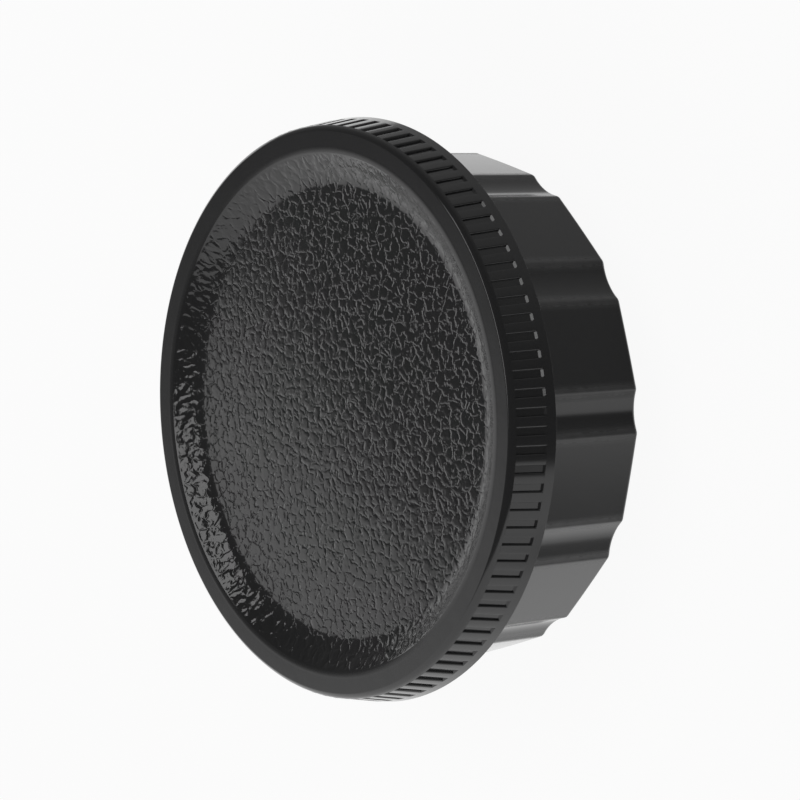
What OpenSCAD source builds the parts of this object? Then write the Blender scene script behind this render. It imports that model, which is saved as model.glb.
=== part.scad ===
// A camera body cap screwed into a rear lens cap: a knurled disc with a dished, grained face closes a fluted cup.
// The closed end of the cup lies on the ground and the face of the disc looks up. Millimetres.

/* [Rim] */
// How far the rim stands out past the ridges at the mouth of the cup
rim_overhang = 3.35; // [2:0.05:6]
// Height of the rim from its seat on the cup to the edge of the front ring
rim_h = 4.7; // [4.3:0.1:6]
// How much smaller the front ring is than the rear band, on the radius
front_step = 1.2; // [0.9:0.1:1.5]
// Width of the smooth ring around the face
ring_w = 2.1; // [1.5:0.1:3]
// Width of the part of that ring that rolls over towards the face
roll_w = 0.9; // [0.4:0.1:1.2]
// How far the ring has dropped at the end of that roll
roll_drop = 0.11; // [0.05:0.01:0.2]

/* [Face] */
// Depth of the edge of the face below the ring
dish_depth = 1.65; // [1.2:0.05:2]
// Width of the slope between the ring and the face
slope_w = 3.2; // [2.5:0.1:4]
// Part of the slope that curves out into the face at its foot
foot_share = 0.4; // [0.2:0.05:0.8]
// Rise of the face towards its middle
face_dome = 0.4; // [0.2:0.05:0.6]
// Thickness of the face
face_t = 1.8; // [1.4:0.1:2.2]

/* [Grip pockets] */
// Number of pockets around the rim
pocket_count = 100; // [80:1:110]
// Part of the pitch that a pocket takes
pocket_share = 0.43; // [0.3:0.01:0.55]
// Depth of a pocket
pocket_depth = 0.3; // [0.2:0.05:0.5]
// Plain height in front of the pockets, taken by the front bevel
front_land = 0.54; // [0.4:0.02:0.8]
// Plain height behind the pockets
rear_land = 0.97; // [0.7:0.05:1.3]

/* [Threads] */
// Nominal diameter of the screw thread
thread_d = 42; // [30:0.5:60]
// Radial clearance between the boss and its bore
thread_gap = 0.1; // [0.05:0.01:0.1]
// Length of the threaded boss
boss_len = 4.8; // [4:0.1:5.2]
// Wall of the boss
boss_wall = 2; // [1.5:0.1:3]
// Depth of the threaded bore in the cup
bore_len = 5.5; // [5.4:0.1:7]

/* [Cup] */
// Height of the cup
cup_h = 13.4; // [11:0.2:16]
// Wall from the threaded bore to the ridges at the closed end
cup_wall = 3.4; // [2.5:0.05:5]
// How much the radius of the cup grows from its closed end to its mouth
cup_taper = 0.2; // [0.05:0.05:0.4]
// Number of flutes
flute_count = 12; // [10:1:14]
// Width of a flute from ridge to ridge
flute_w = 4.1; // [3:0.1:5]
// Depth of a flute below its two ridges
flute_depth = 0.4; // [0.25:0.05:0.6]
// Rounding of the edge at the closed end
back_round = 0.5; // [0.3:0.1:1.2]
// Thickness of the closed end
floor_t = 1.8; // [1.4:0.1:2.5]
// Wall between the threaded bore and the narrower cavity below it
cavity_step = 1.25; // [0.8:0.05:2]

/* [Hidden] */
$fn = 128;
through = 1;

boss_r = thread_d / 2 - thread_gap / 2;
bore_r = boss_r + thread_gap;
boss_edge = 0.4;

ridge_r = bore_r + cup_wall;
mouth_r = ridge_r + cup_taper;
draft = atan(cup_taper / cup_h);
flute_half = asin(flute_w / 2 / ridge_r);
flat_half = 180 / flute_count - flute_half;
corner_r = ridge_r * cos(flat_half) / cos(180 / flute_count);
flute_cut_r = (pow(flute_w / 2, 2) + pow(flute_depth, 2)) / (2 * flute_depth);
flute_cut_x = ridge_r * cos(flute_half) - flute_depth + flute_cut_r;
ridge_trim = 0.05;
cavity_r = bore_r - cavity_step;

rim_r = mouth_r + rim_overhang;
ring_r = rim_r - front_step;
ring_inner_r = ring_r - ring_w;
face_r = ring_inner_r - slope_w;
band_step = 0.16;
bevel_w = 0.5;
grip_low_r = rim_r - band_step;
grip_top_r = ring_r + bevel_w;
band_edge = 0.2;

seat_z = cup_h;
ring_z = seat_z + rim_h;
face_z = ring_z - dish_depth;
grip_low_z = seat_z + rear_land;
grip_top_z = ring_z - front_land;
grip_h = grip_top_z - grip_low_z;
flare = atan((grip_low_r - grip_top_r) / grip_h);

// Points of an arc about a centre, from one angle to another
function arc(x, y, r, a0, a1, steps) =
    [for (i = [0:steps]) let (a = a0 + (a1 - a0) * i / steps) [x + r * cos(a), y + r * sin(a)]];

// The ring is flat and rolls over to the top of the slope
roll_steps = 5;
roll = [for (i = [0:roll_steps]) let (t = i / roll_steps)
    [ring_inner_r + roll_w * (1 - t), ring_z - roll_drop * t * t]];

// Height above the foot of the slope, as a part of its depth: a curved foot and then a straight rise
function climb(t) = (t < foot_share ? t * t / (2 * foot_share) : t - foot_share / 2) / (1 - foot_share / 2);
slope_steps = 10;
slope = [for (i = [1:slope_steps - 1]) let (t = 1 - i / slope_steps)
    [face_r + slope_w * t, face_z + (dish_depth - roll_drop) * climb(t)]];

// The face is a shallow dome from its edge to its middle
dome_r = (pow(face_r, 2) + pow(face_dome, 2)) / (2 * face_dome);
dome_half = asin(face_r / dome_r);
dome_steps = 8;

module rim_solid() {
    rotate_extrude()
        polygon(concat(
            [[0, seat_z], [rim_r - band_edge, seat_z], [rim_r, seat_z + band_edge],
             [grip_low_r, grip_low_z], [grip_top_r, grip_top_z], [ring_r, ring_z]],
            roll,
            slope,
            arc(0, face_z + face_dome - dome_r, dome_r, 90 - dome_half, 90, dome_steps)));
}

module boss_solid() {
    rotate_extrude()
        polygon([[0, seat_z - boss_len], [boss_r - boss_edge, seat_z - boss_len],
                 [boss_r, seat_z - boss_len + boss_edge], [boss_r, seat_z + through], [0, seat_z + through]]);
}

module grip_pocket() {
    pocket_w = 2 * PI * rim_r / pocket_count * pocket_share;
    translate([(grip_low_r + grip_top_r) / 2, 0, (grip_low_z + grip_top_z) / 2])
        rotate([0, -flare, 0])
            cube([2 * pocket_depth, pocket_w, grip_h], center = true);
}

module body_cap() {
    color([0.03, 0.03, 0.032])
        difference() {
            union() {
                rim_solid();
                boss_solid();
            }
            for (i = [0:pocket_count - 1])
                rotate([0, 0, (i + 0.5) * 360 / pocket_count])
                    grip_pocket();
            translate([0, 0, seat_z - boss_len - through])
                cylinder(r = boss_r - boss_wall, h = face_z - face_t - seat_z + boss_len + through);
        }
}

module cup_solid() {
    intersection() {
        cylinder(h = cup_h, r1 = corner_r, r2 = corner_r * mouth_r / ridge_r, $fn = flute_count);
        rotate_extrude()
            polygon(concat(
                [[0, 0]],
                arc(ridge_r - ridge_trim - back_round, back_round, back_round, -90, 0, 6),
                [[mouth_r - ridge_trim, cup_h], [0, cup_h]]));
    }
}

module flute_cutter() {
    translate([flute_cut_x, 0, 0])
        rotate([0, draft, 0])
            translate([0, 0, -through])
                cylinder(r = flute_cut_r, h = cup_h + 2 * through);
}

module cup_inside() {
    rotate_extrude()
        polygon([[0, floor_t], [cavity_r, floor_t], [cavity_r, cup_h - bore_len], [bore_r, cup_h - bore_len],
                 [bore_r, cup_h - boss_edge], [bore_r + boss_edge, cup_h], [bore_r + boss_edge, cup_h + through],
                 [0, cup_h + through]]);
}

module rear_cap() {
    color([0.035, 0.035, 0.037])
        difference() {
            cup_solid();
            for (i = [0:flute_count - 1])
                rotate([0, 0, i * 360 / flute_count])
                    flute_cutter();
            cup_inside();
        }
}

rear_cap();
body_cap();
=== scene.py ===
# %% [markdown]
# A body cap screwed into a rear lens cap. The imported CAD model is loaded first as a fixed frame, so every
# piece made here can be placed by the same sizes. Everything is in metres with the screw axis on Z, so the
# sizes below are written in millimetres and multiplied by MM.

# %% Load the frame
import math

import bmesh
import bpy
from mathutils import Matrix, Quaternion, Vector


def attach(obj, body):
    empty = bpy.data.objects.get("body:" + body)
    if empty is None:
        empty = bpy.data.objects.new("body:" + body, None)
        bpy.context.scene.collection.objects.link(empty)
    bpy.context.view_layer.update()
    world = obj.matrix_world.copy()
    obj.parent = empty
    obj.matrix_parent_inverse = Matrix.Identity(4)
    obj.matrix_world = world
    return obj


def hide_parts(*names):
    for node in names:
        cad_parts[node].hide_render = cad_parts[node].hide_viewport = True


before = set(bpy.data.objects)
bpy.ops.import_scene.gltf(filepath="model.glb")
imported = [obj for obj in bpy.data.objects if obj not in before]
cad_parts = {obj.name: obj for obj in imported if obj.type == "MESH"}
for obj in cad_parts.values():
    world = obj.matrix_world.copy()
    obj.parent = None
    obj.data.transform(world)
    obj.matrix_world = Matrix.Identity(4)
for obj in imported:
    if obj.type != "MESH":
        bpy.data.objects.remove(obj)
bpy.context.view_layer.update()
MM = 0.001

# %% [markdown]
# A few small helpers do what a hand does in edit mode. Operators act on whatever is selected, so each
# helper starts from nothing selected and picks faces, edges or points by where they are.

# %% Helpers for selecting and finishing
WELD = 2e-6


def deselect():
    """Starts an operation from nothing selected"""
    bpy.ops.object.select_all(action="DESELECT")


def edit(piece):
    """Opens one piece in edit mode"""
    deselect()
    piece.select_set(True)
    bpy.context.view_layer.objects.active = piece
    bpy.ops.object.mode_set(mode="EDIT")


def leave():
    """Goes back to object mode"""
    bpy.ops.object.mode_set(mode="OBJECT")


def pick(kind, wanted):
    """Selects the faces, edges or verts of the piece in edit mode that the test wants"""
    bpy.ops.mesh.select_mode(type={"faces": "FACE", "edges": "EDGE", "verts": "VERT"}[kind])
    bpy.ops.mesh.select_all(action="DESELECT")
    mesh = bpy.context.object.data
    shape = bmesh.from_edit_mesh(mesh)
    parts = [p for p in getattr(shape, kind) if wanted(p)]
    for part in parts:
        part.select_set(True)
    shape.select_flush_mode()
    bmesh.update_edit_mesh(mesh)
    return len(parts)


def weld(outside=True):
    """Merges doubles and turns all faces outwards"""
    bpy.ops.mesh.select_all(action="SELECT")
    bpy.ops.mesh.remove_doubles(threshold=WELD)
    if outside:
        bpy.ops.mesh.normals_make_consistent(inside=False)


def join(pieces, name):
    """Joins pieces into the first one and names it"""
    deselect()
    for piece in pieces:
        piece.select_set(True)
    bpy.context.view_layer.objects.active = pieces[0]
    bpy.ops.object.join()
    pieces[0].name = name
    return pieces[0]


def smooth(piece, degrees):
    """Shades soft below the angle, and lets large faces keep their own direction"""
    deselect()
    piece.select_set(True)
    bpy.context.view_layer.objects.active = piece
    bpy.ops.object.transform_apply()
    bpy.ops.object.shade_smooth_by_angle(angle=math.radians(degrees))
    bpy.ops.object.modifier_add(type="WEIGHTED_NORMAL")
    piece.modifiers[-1].keep_sharp = True
    bpy.ops.object.modifier_apply(modifier=piece.modifiers[-1].name)


# %% [markdown]
# Both caps are turned shapes. An outline of radius and height is drawn by extruding one point from corner
# to corner, and spinning it round the axis makes the solid, as on a lathe. Corners are rounded in the
# outline, so the edges of the solid catch light as moulded plastic does.

# %% Helpers for turned shapes
def rounded(corners, steps=4):
    """Corners are (radius, height, fillet) in millimetres; a fillet of 0 stays sharp"""
    points = []
    for i, (r, z, fillet) in enumerate(corners):
        here = Vector((r, z))
        if fillet == 0 or i in (0, len(corners) - 1):
            points.append(here)
            continue
        back = (Vector(corners[i - 1][:2]) - here).normalized()
        ahead = (Vector(corners[i + 1][:2]) - here).normalized()
        half = back.angle(ahead) / 2
        reach = fillet / math.tan(half)
        centre = here + (back + ahead).normalized() * (fillet / math.sin(half))
        first, last = here + back * reach - centre, here + ahead * reach - centre
        for k in range(steps + 1):
            points.append(centre + first.slerp(last, k / steps).normalized() * fillet)
    return points


def first_point(name, place):
    """A tiny plane merged to one point, in edit mode, to extrude an outline from"""
    deselect()
    bpy.ops.mesh.primitive_plane_add(size=MM, location=place)
    piece = bpy.context.object
    piece.name = name
    bpy.ops.object.mode_set(mode="EDIT")
    bpy.ops.mesh.select_mode(type="VERT")
    bpy.ops.mesh.select_all(action="SELECT")
    bpy.ops.mesh.merge(type="CENTER")
    return piece


def lathe(name, outline, steps):
    """Extrudes one point along the outline and spins it round Z"""
    r, z = outline[0] * MM
    piece = first_point(name, (r, 0, z))
    for here, there in zip(outline, outline[1:]):
        move = (there - here) * MM
        bpy.ops.mesh.extrude_region_move(TRANSFORM_OT_translate={"value": (move.x, 0, move.y)})
    bpy.ops.mesh.select_all(action="SELECT")
    bpy.ops.mesh.spin(steps=steps, angle=2 * math.pi, center=(0, 0, 0), axis=(0, 0, 1))
    weld()
    leave()
    bpy.ops.object.transform_apply()
    return piece


# %% [markdown]
# The disc of the body cap carries a smooth ring that rolls over at its inner edge, a slope down to the sunk
# and slightly domed face, a rounded bevel in front of the grip and a plain band behind it. Its back is flat
# where it seats on the cup, and a hollow boss stands out of it. The grip itself is left out here: a groove
# takes the ribs that are modelled next.

# %% Turn the disc and its boss
RING_Z, SEAT_Z, FACE_Z, FACE_DOME = 18.1, 13.4, 16.45, 0.4
RIM_R, RING_R, RING_IN_R, FACE_R = 28.0, 26.8, 24.7, 21.5
GRIP_TOP_Z, GRIP_LOW_Z, GRIP_TOP_R, GRIP_LOW_R = 17.56, 14.37, 27.3, 27.84
GROOVE_R, ROLL_W, ROLL_DROP, RING_LEAN, FOOT = 26.0, 0.7, 0.035, 0.035, 0.5
BOSS_END_Z, BOSS_ROOT_R, BOSS_IN_R, FACE_BACK_Z = 8.6, 20.4, 18.95, 14.65
ROLL_STEPS, BEVEL_STEPS, DOME_STEPS, SLOPE_STEPS, RIM_STEPS = 6, 4, 8, 12, 240
BEVEL_STRAIGHT = 0.4

ring = []
for k in range(ROLL_STEPS + 1):
    t = k / ROLL_STEPS
    ring.append((RING_IN_R + ROLL_W * t, RING_Z - ROLL_DROP * (1 - t) ** 2, 0.1 if k == 0 else 0))
ring.append((RING_R, RING_Z + RING_LEAN, 0.2))
bevel = []
for k in range(1, BEVEL_STEPS):
    a = math.pi / 2 * k / BEVEL_STEPS
    straight = BEVEL_STRAIGHT * k / BEVEL_STEPS
    outwards = straight + (1 - BEVEL_STRAIGHT) * math.sin(a)
    downwards = straight + (1 - BEVEL_STRAIGHT) * (1 - math.cos(a))
    bevel.append((RING_R + (GRIP_TOP_R - RING_R) * outwards, RING_Z - (RING_Z - GRIP_TOP_Z) * downwards, 0))
dome_r = (FACE_R**2 + FACE_DOME**2) / (2 * FACE_DOME)
dome = []
for k in range(DOME_STEPS + 1):
    r = FACE_R * k / DOME_STEPS
    dome.append((r, FACE_Z + FACE_DOME - dome_r + math.sqrt(dome_r**2 - r**2), 0))
slope = []
for k in range(1, SLOPE_STEPS):
    t = k / SLOPE_STEPS
    climb = t * t / (2 * FOOT) if t < FOOT else t - FOOT / 2
    rise = (RING_Z - ROLL_DROP - FACE_Z) * climb / (1 - FOOT / 2)
    slope.append((FACE_R + (RING_IN_R - FACE_R) * t, FACE_Z + rise, 0))

disc_outline = rounded(
    dome
    + slope
    + ring
    + bevel
    + [(GRIP_TOP_R, GRIP_TOP_Z, 0), (GROOVE_R, GRIP_TOP_Z, 0), (GROOVE_R, GRIP_LOW_Z, 0)]
    + [(GRIP_LOW_R, GRIP_LOW_Z, 0), (RIM_R, SEAT_Z, 0.02), (BOSS_ROOT_R, SEAT_Z, 0)]
    + [(BOSS_ROOT_R, BOSS_END_Z, 0.3), (BOSS_IN_R, BOSS_END_Z, 0.3)]
    + [(BOSS_IN_R, FACE_BACK_Z, 0.4), (0, FACE_BACK_Z, 0)]
)
disc = lathe("body_cap_disc", disc_outline, RIM_STEPS)
smooth(disc, 30)
print("disc points along the outline:", len(disc_outline))

# %% [markdown]
# The grip is a hundred shallow pockets with flat ribs between them. One pitch of it starts as a small
# block: its outside leans with the flare of the rim, cuts mark the pocket, its face is pushed in, and the
# edges of the ribs are rounded. The rear end of each pocket leans, and that is what glints in a row along
# the rim.

# %% Model one pitch of the grip
POCKETS = 100
POCKET_W, POCKET_DEEP, POCKET_END, POCKET_LEAN = 0.76, 0.25, 0.06, 0.14
FLOOR_SHARE, RIB_ROUND = 0.8, 0.1

grip_h = (GRIP_TOP_Z - GRIP_LOW_Z) * MM
pitch = 2 * math.pi / POCKETS
block_w = 2 * RIM_R * MM * math.tan(pitch / 2)
block_mid = Vector(((GROOVE_R + RIM_R) / 2 * MM, 0, (GRIP_TOP_Z + GRIP_LOW_Z) / 2 * MM))

deselect()
bpy.ops.mesh.primitive_cube_add(size=1, location=block_mid)
grip = bpy.context.object
grip.name = "grip_pitch"
bpy.ops.transform.resize(value=((RIM_R - GROOVE_R) * MM, block_w, grip_h), center_override=block_mid)
bpy.ops.object.transform_apply()
edit(grip)
pick("verts", lambda v: v.co.x > block_mid.x and v.co.z > block_mid.z)
bpy.ops.transform.translate(value=((GRIP_TOP_R - RIM_R) * MM, 0, 0))
pick("verts", lambda v: v.co.x > block_mid.x and v.co.z < block_mid.z)
bpy.ops.transform.translate(value=((GRIP_LOW_R - RIM_R) * MM, 0, 0))
for v in bmesh.from_edit_mesh(grip.data).verts:
    v.co.y = math.copysign(v.co.x * math.tan(pitch / 2), v.co.y)
bmesh.update_edit_mesh(grip.data)
pick("faces", lambda f: abs(f.normal.y) > 0.9)
bpy.ops.mesh.delete(type="FACE")
print("faces of the block:", len(bmesh.from_edit_mesh(grip.data).faces))

# %% Push the pocket in and round the ribs
for side in (-1, 1):
    bpy.ops.mesh.select_all(action="SELECT")
    bpy.ops.mesh.bisect(plane_co=(0, side * POCKET_W / 2 * MM, 0), plane_no=(0, 1, 0))
for z in (GRIP_LOW_Z + POCKET_END, GRIP_TOP_Z - POCKET_END):
    pick("faces", lambda f: f.normal.x > 0.9)
    bpy.ops.mesh.bisect(plane_co=(0, 0, z * MM), plane_no=(0, 0, 1))
pick(
    "faces",
    lambda f: f.normal.x > 0.9
    and abs(f.calc_center_median().y) < POCKET_W / 4 * MM
    and abs(f.calc_center_median().z - block_mid.z) < grip_h / 4,
)
bpy.ops.mesh.extrude_region_move(TRANSFORM_OT_translate={"value": (-POCKET_DEEP * MM, 0, 0)})
face_lean = (GRIP_LOW_R - GRIP_TOP_R) / (GRIP_TOP_Z - GRIP_LOW_Z)


def depth(p):
    """How deep a place lies below the flared outside"""
    return GRIP_LOW_R * MM - face_lean * (p.z - GRIP_LOW_Z * MM) - p.x


pick("verts", lambda v: abs(depth(v.co) - POCKET_DEEP * MM) < WELD and v.co.z < block_mid.z)
bpy.ops.transform.translate(value=(0, 0, POCKET_LEAN * MM))
pick("verts", lambda v: abs(depth(v.co) - POCKET_DEEP * MM) < 0.1 * MM and abs(v.co.y) < POCKET_W * MM)
bpy.ops.transform.resize(value=(1, FLOOR_SHARE, 1), center_override=block_mid)


def pocket_edge(e):
    a, b = e.verts[0].co, e.verts[1].co
    along = abs(a.z - b.z) > grip_h / 2
    on_side = abs(abs(a.y) - POCKET_W / 2 * MM) < WELD
    return along and on_side and max(depth(a), depth(b)) < WELD


print("pocket edges:", pick("edges", pocket_edge))
bpy.ops.mesh.bevel(offset=RIB_ROUND * MM, segments=3, affect="EDGES")
leave()
print("faces in one pitch:", len(grip.data.polygons))

# %% [markdown]
# The pitch is copied round the rim, each copy turned by one step, and all are welded into one closed ring
# that lies in the groove of the disc. A rib, not a pocket, lies on the X axis.

# %% Copy the pitch round the rim
ring_parts = []
for i in range(POCKETS):
    part = grip if i == POCKETS - 1 else grip.copy()
    if part is not grip:
        part.data = grip.data.copy()
        bpy.context.collection.objects.link(part)
    ring_parts.append(part)
for i, part in enumerate(ring_parts):
    part.rotation_euler.z = (i + 0.5) * pitch
deselect()
for part in ring_parts:
    part.select_set(True)
bpy.context.view_layer.objects.active = ring_parts[0]
bpy.ops.object.transform_apply()
grip_ring = join(ring_parts, "body_cap_grip")
edit(grip_ring)
weld()
leave()
smooth(grip_ring, 35)
print("grip faces:", len(grip_ring.data.polygons))

# %% [markdown]
# The cup's wall follows a plan outline: wide flats with a narrow hollow flute between each two. Only one
# twelfth is drawn, point by point, and spun into twelve copies. The closed loop is then pulled up from the
# closed end to the mouth, widening a little on the way as a moulded part does to leave its mould.

# %% Draw the plan outline of the cup
FLUTES = 12
CUP_R, CUP_TAPER, CUP_H = 24.45, 0.2, 13.4
FLUTE_W, FLUTE_DEEP, RIDGE_FILLET, BACK_ROUND, FLAT_CROWN = 4.1, 0.4, 0.6, 0.5, 0.05
HOLLOW_SHARE, MOUTH_EDGE = 0.9, 0.15
HOLLOW_STEPS, FLAT_STEPS, BACK_STEPS = 5, 6, 5

flute_half = math.asin(FLUTE_W / 2 / CUP_R)
flute_r = ((FLUTE_W / 2) ** 2 + FLUTE_DEEP**2) / (2 * FLUTE_DEEP)
flute_mid = CUP_R * math.cos(flute_half) - FLUTE_DEEP + flute_r
flute_reach = math.asin(FLUTE_W / 2 / flute_r)
ridge = Vector((CUP_R * math.cos(flute_half), CUP_R * math.sin(flute_half)))
next_angle = 2 * math.pi / FLUTES - flute_half
next_ridge = Vector((CUP_R * math.cos(next_angle), CUP_R * math.sin(next_angle)))

plan = []
for k in range(HOLLOW_STEPS + 1):
    a = flute_reach * k / HOLLOW_STEPS * HOLLOW_SHARE
    plan.append(Vector((flute_mid - flute_r * math.cos(a), flute_r * math.sin(a))))
corner = rounded([(*plan[-1], 0), (*ridge, RIDGE_FILLET), (*next_ridge, 0)], 4)
half_sector = plan + corner[1:-1]
mirror_line = Vector((math.cos(math.pi / FLUTES), math.sin(math.pi / FLUTES)))
flat_middle = (ridge + next_ridge) / 2
for k in range(1, FLAT_STEPS + 1):
    t = k / FLAT_STEPS
    half_sector.append(corner[-2].lerp(flat_middle, t) + mirror_line * FLAT_CROWN * (2 - t) * t)
other_half = [2 * p.dot(mirror_line) * mirror_line - p for p in reversed(half_sector[:-1])]
sector = half_sector + other_half
print("points in one twelfth:", len(sector))

# %% Pull the wall of the cup up from its plan
cup = first_point("rear_cap_shell", (sector[0].x * MM, sector[0].y * MM, 0))
for here, there in zip(sector, sector[1:]):
    step = (there - here) * MM
    bpy.ops.mesh.extrude_region_move(TRANSFORM_OT_translate={"value": (step.x, step.y, 0)})
bpy.ops.mesh.select_all(action="SELECT")
bpy.ops.mesh.spin(steps=FLUTES, angle=2 * math.pi, dupli=True, center=(0, 0, 0), axis=(0, 0, 1))
weld(outside=False)
bpy.ops.mesh.select_mode(type="EDGE")
bpy.ops.mesh.select_all(action="SELECT")

rows = [(0, CUP_R - BACK_ROUND)]
for k in range(1, BACK_STEPS + 1):
    a = math.pi / 2 * k / BACK_STEPS
    rows.append((BACK_ROUND * (1 - math.cos(a)), CUP_R - BACK_ROUND * (1 - math.sin(a))))
rows += [(CUP_H - MOUTH_EDGE, CUP_R + CUP_TAPER), (CUP_H, CUP_R + CUP_TAPER - MOUTH_EDGE)]
first = rows[0][1] / CUP_R
bpy.ops.transform.resize(value=(first, first, 1), center_override=(0, 0, 0))
for (z0, r0), (z1, r1) in zip(rows, rows[1:]):
    bpy.ops.mesh.extrude_region_move(TRANSFORM_OT_translate={"value": (0, 0, (z1 - z0) * MM)})
    bpy.ops.transform.resize(value=(r1 / r0, r1 / r0, 1), center_override=(0, 0, z1 * MM))
pick("verts", lambda v: v.co.z < WELD)
bpy.ops.mesh.select_mode(type="EDGE")
bpy.ops.mesh.extrude_region_move()
bpy.ops.transform.resize(value=(0.5, 0.5, 1), center_override=(0, 0, 0))
bpy.ops.mesh.extrude_region_move()
bpy.ops.mesh.merge(type="CENTER")
leave()
bpy.ops.object.transform_apply()
print("cup wall faces:", len(cup.data.polygons))

# %% [markdown]
# The inside of the cup is a turned shape again: a lead-in at the mouth, the bore for the thread, and a
# narrower cavity down to the closed end. Its open edge is bridged to the mouth of the wall.

# %% Turn the inside and bridge the mouth
BORE_R, BORE_Z, CAVITY_R, FLOOR_Z = 21.05, 7.9, 19.8, 1.8
inside_outline = rounded(
    [(BORE_R + 0.4, CUP_H, 0), (BORE_R, CUP_H - 0.4, 0.1), (BORE_R, BORE_Z, 0), (CAVITY_R, BORE_Z, 0.2)]
    + [(CAVITY_R, FLOOR_Z, 0.8), (0, FLOOR_Z, 0)]
)
inside = lathe("cup_inside", inside_outline, len(sector[:-1]) * FLUTES)
cup = join([cup, inside], "rear_cap_shell")
edit(cup)
pick("edges", lambda e: e.is_boundary and e.verts[0].co.z > CUP_H * MM - WELD)
bpy.ops.mesh.bridge_edge_loops()
weld()
leave()
smooth(cup, 30)
print("cup faces:", len(cup.data.polygons))

# %% [markdown]
# The screw thread has a pitch of 1 mm and runs right-handed. Its ridge is a small trapezoid swept by the
# Screw modifier. The outer ridge stands on the boss and the inner one hangs in the bore, half a pitch
# apart, so they interleave when the caps are screwed together.

# %% Sweep the threads
PITCH, TURNS, THREAD_STEPS = 1.0, 4, 96
ROOT_SHARE, CREST_SHARE, SINK = 0.8, 0.25, 0.05
OUTER_CREST_R, INNER_CREST_R, OUTER_START_Z, INNER_START_Z = 20.95, 20.5, 9.1, 8.6


def thread(name, root_r, crest_r, start_z):
    """Sweeps a trapezoid from the root radius to the crest radius up along the screw line"""
    deselect()
    middle = ((root_r + crest_r) / 2 * MM, 0, start_z * MM)
    bpy.ops.mesh.primitive_plane_add(size=MM, location=middle, rotation=(math.pi / 2, 0, 0))
    piece = bpy.context.object
    piece.name = name
    bpy.ops.transform.resize(value=(abs(crest_r - root_r), 1, ROOT_SHARE * PITCH), center_override=middle)
    bpy.ops.object.transform_apply()
    edit(piece)
    pick("verts", lambda v: abs(v.co.x - crest_r * MM) < WELD)
    bpy.ops.transform.resize(value=(1, 1, CREST_SHARE), center_override=(crest_r * MM, 0, start_z * MM))
    pick("faces", lambda f: True)
    bpy.ops.mesh.delete(type="ONLY_FACE")
    leave()
    bpy.ops.object.modifier_add(type="SCREW")
    sweep = piece.modifiers[-1]
    sweep.axis = "Z"
    sweep.steps = sweep.render_steps = THREAD_STEPS
    sweep.screw_offset = PITCH * MM
    sweep.iterations = TURNS
    bpy.ops.object.modifier_apply(modifier=sweep.name)
    edit(piece)
    weld(outside=False)
    pick("edges", lambda e: e.is_boundary)
    bpy.ops.mesh.fill_holes(sides=4)
    weld()
    leave()
    smooth(piece, 35)
    return piece


outer_thread = thread("body_cap_thread", BOSS_ROOT_R - SINK, OUTER_CREST_R, OUTER_START_Z)
inner_thread = thread("rear_cap_thread", BORE_R + SINK, INNER_CREST_R, INNER_START_Z)
print("thread faces:", len(outer_thread.data.polygons), len(inner_thread.data.polygons))


# %% [markdown]
# Both caps are the same kind of black plastic, glossy but not quite a mirror. Nothing about it is perfectly
# even, so one node group gives a slow change in gloss, a very shallow ripple, a few specks of dust, and
# scuff marks wherever a material asks for wear. The marks are rougher and greyer, and that grey is partly
# wear and partly a painted highlight.

# %% Helpers for node groups
def group_with(name, inputs, outputs):
    """A new node group with named sockets: the group, its nodes, its link function and its two ends"""
    made = bpy.data.node_groups.new(name, "ShaderNodeTree")
    for label, value in inputs:
        socket = made.interface.new_socket(label, in_out="INPUT", socket_type="NodeSocketFloat")
        socket.default_value = value
    for label in outputs:
        made.interface.new_socket(label, in_out="OUTPUT", socket_type="NodeSocketFloat")
    start, end = made.nodes.new("NodeGroupInput"), made.nodes.new("NodeGroupOutput")
    return made, made.nodes, made.links.new, start, end


def maths(nodes, link, operation, *values):
    """One sum of numbers and of outputs of other nodes"""
    node = nodes.new("ShaderNodeMath")
    node.operation = operation
    for socket, value in zip(node.inputs, values):
        if isinstance(value, (int, float)):
            socket.default_value = value
        else:
            link(value, socket)
    return node.outputs[0]


def ramp(nodes, link, value, low, high, to_low=0.0, to_high=1.0):
    """Smooth step of a value between two limits"""
    node = nodes.new("ShaderNodeMapRange")
    node.interpolation_type = "SMOOTHSTEP"
    link(value, node.inputs["Value"])
    for label, number in (("From Min", low), ("From Max", high), ("To Min", to_low), ("To Max", to_high)):
        if isinstance(number, (int, float)):
            node.inputs[label].default_value = number
        else:
            link(number, node.inputs[label])
    return node.outputs["Result"]


def noise_at(place, scale, detail, dimensions="3D"):
    """Random cloud at a place, of so many waves to the unit"""
    node = nodes.new("ShaderNodeTexNoise")
    node.noise_dimensions = dimensions
    node.inputs["Scale"].default_value = scale
    node.inputs["Detail"].default_value = detail
    link(place, node.inputs["Vector"])
    return node


# %% Node group for moulded plastic
moulded, nodes, link, given, out = group_with(
    "moulded_plastic",
    [("Gloss", 0.22), ("Gloss change", 0.06), ("Ripple", 0.004), ("Wear and painted highlight", 0)],
    ["Roughness", "Height", "Grey"],
)
place = nodes.new("ShaderNodeTexCoord").outputs["Object"]
cloud = noise_at(place, scale=140, detail=4)
uneven = maths(nodes, link, "SUBTRACT", cloud.outputs["Fac"], 0.5)
change = maths(nodes, link, "MULTIPLY", uneven, given.outputs["Gloss change"])
even = maths(nodes, link, "ADD", change, given.outputs["Gloss"])

# Wear mask broken up by noise; on the cup's ridges it also stands in for the highlight the rounded ridges
# catch
wear_highlight_noise = noise_at(place, scale=900, detail=3)
scuffs_and_highlight = ramp(nodes, link, wear_highlight_noise.outputs["Fac"], 0.35, 0.6, 0.8, 1.0)
worn_and_highlight = maths(nodes, link, "MULTIPLY", scuffs_and_highlight, given.outputs["Wear and painted highlight"])
link(maths(nodes, link, "MULTIPLY_ADD", worn_and_highlight, 0.2, even), out.inputs["Roughness"])

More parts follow.
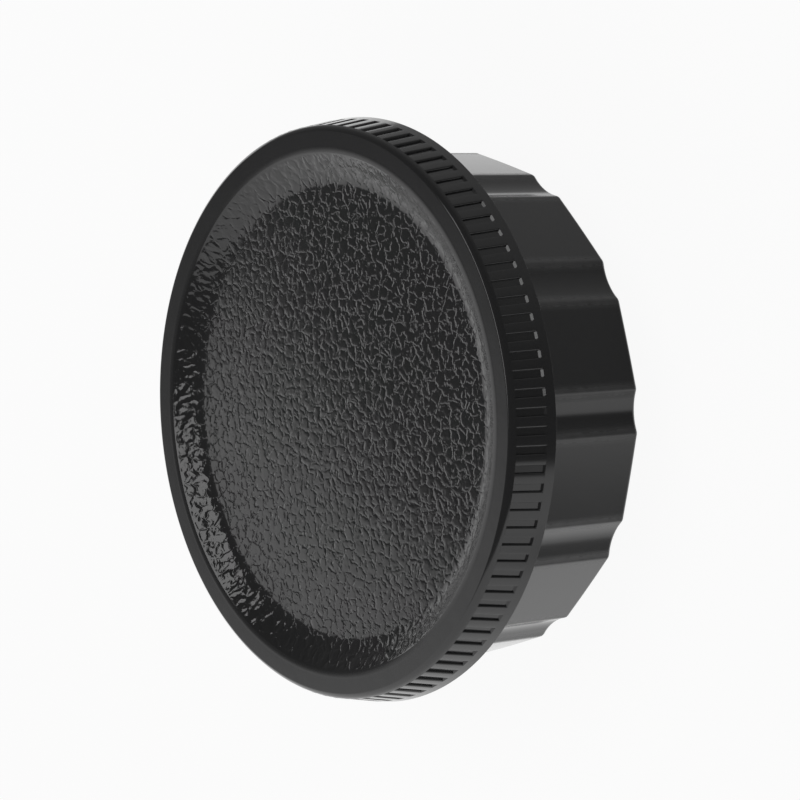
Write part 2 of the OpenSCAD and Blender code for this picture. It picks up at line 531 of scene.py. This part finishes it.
dust = nodes.new("ShaderNodeTexVoronoi")
dust.inputs["Scale"].default_value = 330
link(place, dust.inputs["Vector"])
rare = nodes.new("ShaderNodeSeparateColor")
link(dust.outputs["Color"], rare.inputs[0])
speck_size = maths(nodes, link, "MULTIPLY", rare.outputs["Red"], 0.05)
speck = maths(nodes, link, "LESS_THAN", dust.outputs["Distance"], speck_size)
chosen = maths(nodes, link, "GREATER_THAN", rare.outputs["Green"], 0.75)
speck = maths(nodes, link, "MULTIPLY", speck, chosen)
grey_speck = maths(nodes, link, "MULTIPLY", speck, 0.5)
# The grey of the scuff marks is partly wear and partly painted highlight; the specks are dust
grey_wear_and_highlight = maths(nodes, link, "MULTIPLY", worn_and_highlight, 0.2)
link(maths(nodes, link, "MAXIMUM", grey_wear_and_highlight, grey_speck), out.inputs["Grey"])

ripple = noise_at(place, scale=400, detail=2)
tiny = maths(nodes, link, "MULTIPLY", ripple.outputs["Fac"], given.outputs["Ripple"])
link(maths(nodes, link, "MULTIPLY", tiny, MM), out.inputs["Height"])
print("node group:", moulded.name)

# %% [markdown]
# The face has the grain of leather, moulded into the plastic: flat pebbles about a millimetre wide, parted
# by narrow creases that wander and stop short. Cells of a Voronoi pattern give the pebbles, the distance to
# their edges gives the creases, and noise bends them and lets some of them fade out. Pillow rounds the
# pebbles off, and Lumps adds a slow swell.

# %% Node group for leather grain
leather, nodes, link, given, out = group_with(
    "leather_grain",
    [("Pebble", 1.1), ("Crease", 0.18), ("Depth", 0.035), ("Bend", 0.5)]
    + [("Lumps", 0.2), ("Pillow", 0.2), ("Groove", 1.0)],
    ["Height"],
)
place = nodes.new("ShaderNodeTexCoord").outputs["Object"]
flat = nodes.new("ShaderNodeVectorMath")
flat.operation = "MULTIPLY"
flat.inputs[1].default_value = (1 / MM, 1 / MM, 0)
link(place, flat.inputs[0])


def bent(scale, amount):
    """The flat place, pushed about by noise of the given scale"""
    noise = noise_at(flat.outputs[0], scale, detail=1, dimensions="2D")
    centred = nodes.new("ShaderNodeVectorMath")
    centred.operation = "SUBTRACT"
    centred.inputs[1].default_value = (0.5, 0.5, 0.5)
    link(noise.outputs["Color"], centred.inputs[0])
    push = nodes.new("ShaderNodeVectorMath")
    push.operation = "SCALE"
    link(centred.outputs[0], push.inputs[0])
    link(amount, push.inputs["Scale"])
    total = nodes.new("ShaderNodeVectorMath")
    link(flat.outputs[0], total.inputs[0])
    link(push.outputs[0], total.inputs[1])
    return total.outputs[0]


def creases(spot, per_mm, strength, pillow):
    """Depth of the creases between cells, and how far the cells round off towards them"""
    cells = nodes.new("ShaderNodeTexVoronoi")
    cells.voronoi_dimensions = "2D"
    cells.feature = "DISTANCE_TO_EDGE"
    link(spot, cells.inputs["Vector"])
    link(per_mm, cells.inputs["Scale"])
    gap = maths(nodes, link, "DIVIDE", cells.outputs["Distance"], per_mm)
    groove = ramp(nodes, link, gap, 0.0, given.outputs["Crease"], 1.0, 0.0)
    sag = ramp(nodes, link, gap, 0.0, 0.45, pillow, 0.0)
    groove = maths(nodes, link, "MULTIPLY", groove, given.outputs["Groove"])
    return maths(nodes, link, "MULTIPLY_ADD", groove, strength, sag)


# %% Pebbles, creases and swell of the leather
spot = bent(1.0, maths(nodes, link, "MULTIPLY", given.outputs["Bend"], 2.0))
per_mm = maths(nodes, link, "DIVIDE", 1.0, given.outputs["Pebble"])
fade = noise_at(flat.outputs[0], scale=1.3, detail=2, dimensions="2D")
main_share = ramp(nodes, link, fade.outputs["Fac"], 0.38, 0.53)
fine_share = ramp(nodes, link, fade.outputs["Fac"], 0.6, 0.7, 0.0, 0.4)
main = creases(spot, per_mm, main_share, given.outputs["Pillow"])
fine = creases(spot, maths(nodes, link, "MULTIPLY", per_mm, 1.9), fine_share, 0.0)
deepest = maths(nodes, link, "MAXIMUM", main, fine)
swell = noise_at(flat.outputs[0], scale=0.8, detail=2, dimensions="2D")
raised = maths(nodes, link, "MULTIPLY", swell.outputs["Fac"], given.outputs["Lumps"])
lift = maths(nodes, link, "SUBTRACT", raised, deepest)
deep = maths(nodes, link, "MULTIPLY", lift, given.outputs["Depth"])
link(maths(nodes, link, "MULTIPLY", deep, MM), out.inputs["Height"])
print("node group:", leather.name)

# %% [markdown]
# The grain covers only the sunk face and its slope, where it turns softer and lumpier. A mask of place lets
# it in on the front, inside the ring's inner edge, and everywhere else the disc stays smooth. The cup is
# scuffed along the ridges beside its flutes, where it is gripped. The same mask greys those ridges as a
# painted highlight of the light that the rounded ridges catch.

# %% Materials
GLOSS, GLOSS_CHANGE = 0.12, 0.04
BLACK, GREY = (0.014, 0.014, 0.0145, 1), (0.2, 0.2, 0.2, 1)


def plastic(name, grained):
    """Black plastic with the leather grain on the face, or with scuffed ridges on the cup, greyed as a
    painted highlight
    """
    material = bpy.data.materials.new(name)
    material.use_nodes = True
    nodes, link = material.node_tree.nodes, material.node_tree.links.new
    shader = nodes["Principled BSDF"]
    shader.inputs["IOR"].default_value = 1.52
    finish = nodes.new("ShaderNodeGroup")
    finish.node_tree = moulded
    finish.inputs["Gloss"].default_value = GLOSS
    finish.inputs["Gloss change"].default_value = GLOSS_CHANGE
    height = finish.outputs["Height"]
    link(finish.outputs["Roughness"], shader.inputs["Roughness"])
    colour = nodes.new("ShaderNodeMix")
    colour.data_type = "RGBA"
    colour.inputs["A"].default_value = BLACK
    colour.inputs["B"].default_value = GREY
    link(finish.outputs["Grey"], colour.inputs["Factor"])
    link(colour.outputs["Result"], shader.inputs["Base Color"])
    apart = nodes.new("ShaderNodeSeparateXYZ")
    link(nodes.new("ShaderNodeTexCoord").outputs["Object"], apart.inputs[0])
    level = nodes.new("ShaderNodeCombineXYZ")
    link(apart.outputs["X"], level.inputs["X"])
    link(apart.outputs["Y"], level.inputs["Y"])
    length = nodes.new("ShaderNodeVectorMath")
    length.operation = "LENGTH"
    link(level.outputs[0], length.inputs[0])
    reach = length.outputs["Value"]
    if grained:
        grain = nodes.new("ShaderNodeGroup")
        grain.node_tree = leather
        on_slope = ramp(nodes, link, reach, (FACE_R + 0.3) * MM, (FACE_R + 1.2) * MM)
        for label, more, usual in (("Lumps", 1.6, 0.2), ("Pillow", 0.7, 0.2), ("Groove", -0.65, 1.0)):
            link(maths(nodes, link, "MULTIPLY_ADD", on_slope, more, usual), grain.inputs[label])
        within = ramp(nodes, link, reach, (RING_IN_R - 0.3) * MM, (RING_IN_R - 0.05) * MM, 1.0, 0.0)
        above = maths(nodes, link, "GREATER_THAN", apart.outputs["Z"], (FACE_Z - 0.3) * MM)
        mask = maths(nodes, link, "MULTIPLY", within, above)
        height = maths(nodes, link, "MULTIPLY_ADD", grain.outputs["Height"], mask, height)
    else:
        # Ridges beside the flutes get wear here, and its grey is partly a painted highlight
        around = maths(nodes, link, "ARCTAN2", apart.outputs["Y"], apart.outputs["X"])
        off_flute = maths(nodes, link, "PINGPONG", around, math.pi / FLUTES)
        off_ridge = maths(nodes, link, "ABSOLUTE", maths(nodes, link, "SUBTRACT", off_flute, flute_half))
        at_ridge = ramp(nodes, link, off_ridge, 0.01, 0.04, 1.0, 0.0)
        outside = maths(nodes, link, "GREATER_THAN", reach, (CUP_R - 1.0) * MM)
        link(maths(nodes, link, "MULTIPLY", at_ridge, outside), finish.inputs["Wear and painted highlight"])
    bump = nodes.new("ShaderNodeBump")
    bump.inputs["Distance"].default_value = 1.0
    link(height, bump.inputs["Height"])
    link(bump.outputs["Normal"], shader.inputs["Normal"])
    return material


# %% Give every piece its plastic and its body
body_plastic = plastic("body_cap_black_plastic", grained=True)
rear_plastic = plastic("rear_cap_black_plastic", grained=False)
for piece in (disc, grip_ring, outer_thread):
    piece.data.materials.clear()
    piece.data.materials.append(body_plastic)
    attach(piece, "body_cap")
for piece in (cup, inner_thread):
    piece.data.materials.clear()
    piece.data.materials.append(rear_plastic)
    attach(piece, "rear_cap")
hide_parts("body_cap")
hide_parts("rear_cap")
print("materials:", body_plastic.name, rear_plastic.name)

# %% [markdown]
# The caps lie face up on a white floor, and the camera looks down on them with its own top turned towards
# +Y, so that the disc stands up in the picture. The camera's place comes from a perspective fit of the
# photograph: the angle between the line of sight and the screw axis, a small roll, and where the ring's
# centre falls.

# %% Camera
FOCAL_PX, IMAGE_PX, SENSOR = 4100, 800, 36
TILT, ROLL, FLUTE_TURN = math.radians(51.15), math.radians(-3.95), math.radians(4.3)
RING_CENTRE_PX, PX_PER_RING = (325.0, 412.8), 282.1

away = FOCAL_PX / PX_PER_RING * RING_R * MM
right = Vector((math.cos(ROLL) * math.cos(TILT), math.sin(ROLL), -math.sin(TILT) * math.cos(ROLL)))
up = Vector((-math.sin(ROLL) * math.cos(TILT), math.cos(ROLL), math.sin(TILT) * math.sin(ROLL)))
back = Vector((math.sin(TILT), 0, math.cos(TILT)))
turn = Matrix.Rotation(FLUTE_TURN, 3, "Z")
right, up, back = turn @ right, turn @ up, turn @ back
across = (RING_CENTRE_PX[0] - IMAGE_PX / 2) / FOCAL_PX * away
down = (RING_CENTRE_PX[1] - IMAGE_PX / 2) / FOCAL_PX * away
camera = bpy.data.objects.new("camera", bpy.data.cameras.new("camera"))
bpy.context.collection.objects.link(camera)
camera.matrix_world = Matrix((right, up, back)).transposed().to_4x4()
camera.location = Vector((0, 0, RING_Z * MM)) - right * across + up * down + back * away
camera.data.sensor_width = SENSOR
camera.data.lens = FOCAL_PX / IMAGE_PX * SENSOR
camera.data.clip_start, camera.data.clip_end = 0.01, 10
bpy.context.scene.camera = camera
print("camera at mm:", [round(c / MM, 1) for c in camera.location])

# %% [markdown]
# Black gloss shows its surroundings more than its own colour. In the photograph a white backdrop lies
# behind and below the caps and a darker room on the camera's side. So for reflections the world is white on
# one side and dark on the other, a little lighter low down, with a grey card and a bright spot in the
# white. The camera sees plain white. The floor is left out of reflections, and one soft lamp above the face
# draws the thin lights.

# %% World
DARK_SIDE = turn @ Vector((0.42, 0.73, 0.419))
DIM_SIDE = turn @ Vector((0, 0.78, -0.62))
CARD_SIDE = turn @ Vector((0.435, -0.645, -0.6275))
BRIGHT_SIDE = turn @ Vector((-0.08, -0.774, -0.6275))
bpy.context.scene.view_settings.view_transform = "Standard"
world = bpy.data.worlds.new("studio")
bpy.context.scene.world = world
world.use_nodes = True
nodes, link = world.node_tree.nodes, world.node_tree.links.new
nodes.clear()
direction = nodes.new("ShaderNodeTexCoord").outputs["Generated"]


def towards(side, low, high, to_low, to_high):
    """A strength that changes with how much a direction points towards a side"""
    node = nodes.new("ShaderNodeVectorMath")
    node.operation = "DOT_PRODUCT"
    node.inputs[1].default_value = side
    link(direction, node.inputs[0])
    return ramp(nodes, link, node.outputs["Value"], low, high, to_low, to_high)


studio = nodes.new("ShaderNodeBackground")
bright_spot = towards(BRIGHT_SIDE, low=0.97, high=1.0, to_low=1.15, to_high=1.5)
grey_card = towards(CARD_SIDE, low=0.955, high=0.99, to_low=1.0, to_high=0.4)
white_part = maths(nodes, link, "MULTIPLY", bright_spot, grey_card)
dark_part = towards(DIM_SIDE, low=0.2, high=1.15, to_low=0.17, to_high=0.42)
strength = towards(DARK_SIDE, low=-0.125, high=-0.05, to_low=white_part, to_high=dark_part)
link(strength, studio.inputs["Strength"])
backdrop = nodes.new("ShaderNodeBackground")
for shade in (studio, backdrop):
    shade.inputs["Color"].default_value = (1, 1, 1, 1)
seen = nodes.new("ShaderNodeLightPath").outputs["Is Camera Ray"]
mix = nodes.new("ShaderNodeMixShader")
link(seen, mix.inputs["Fac"])
link(studio.outputs[0], mix.inputs[1])
link(backdrop.outputs[0], mix.inputs[2])
link(mix.outputs[0], nodes.new("ShaderNodeOutputWorld").inputs["Surface"])
print("world:", world.name)

# %% Floor and lamp
FLOOR_R, UNDER_CUP = 0.6, -0.02 * MM
deselect()
bpy.ops.mesh.primitive_circle_add(
    vertices=96, radius=FLOOR_R, fill_type="NGON", location=(0, 0, UNDER_CUP)
)
floor = bpy.context.object
floor.name = "floor"
floor_paint = bpy.data.materials.new("floor_white")
floor_paint.use_nodes = True
nodes, link = floor_paint.node_tree.nodes, floor_paint.node_tree.links.new
nodes["Principled BSDF"].inputs["Base Color"].default_value = (0.9, 0.9, 0.9, 1)
nodes["Principled BSDF"].inputs["Roughness"].default_value = 0.9
white = nodes.new("ShaderNodeEmission")
path = nodes.new("ShaderNodeLightPath")
mix = nodes.new("ShaderNodeMixShader")
link(maths(nodes, link, "MULTIPLY", path.outputs["Is Camera Ray"], 0.93), mix.inputs["Fac"])
link(nodes["Principled BSDF"].outputs[0], mix.inputs[1])
link(white.outputs[0], mix.inputs[2])
link(mix.outputs[0], nodes["Material Output"].inputs["Surface"])
floor.data.materials.append(floor_paint)
floor.visible_glossy = False

LAMP_AWAY, LAMP_TURN = 0.6, math.radians(25)
lamp = bpy.data.objects.new("soft_lamp", bpy.data.lights.new("soft_lamp", "AREA"))
bpy.context.collection.objects.link(lamp)
aim = turn @ Vector((0.0, 0.30, 0.95)).normalized()
lamp.location = aim * LAMP_AWAY
lamp.rotation_mode = "QUATERNION"
lamp.rotation_quaternion = Quaternion(aim, LAMP_TURN) @ aim.to_track_quat("Z", "Y")
lamp.data.shape = "RECTANGLE"
lamp.data.size, lamp.data.size_y = 0.2, 0.44
lamp.data.energy = 0.8
print("floor and lamp are set")
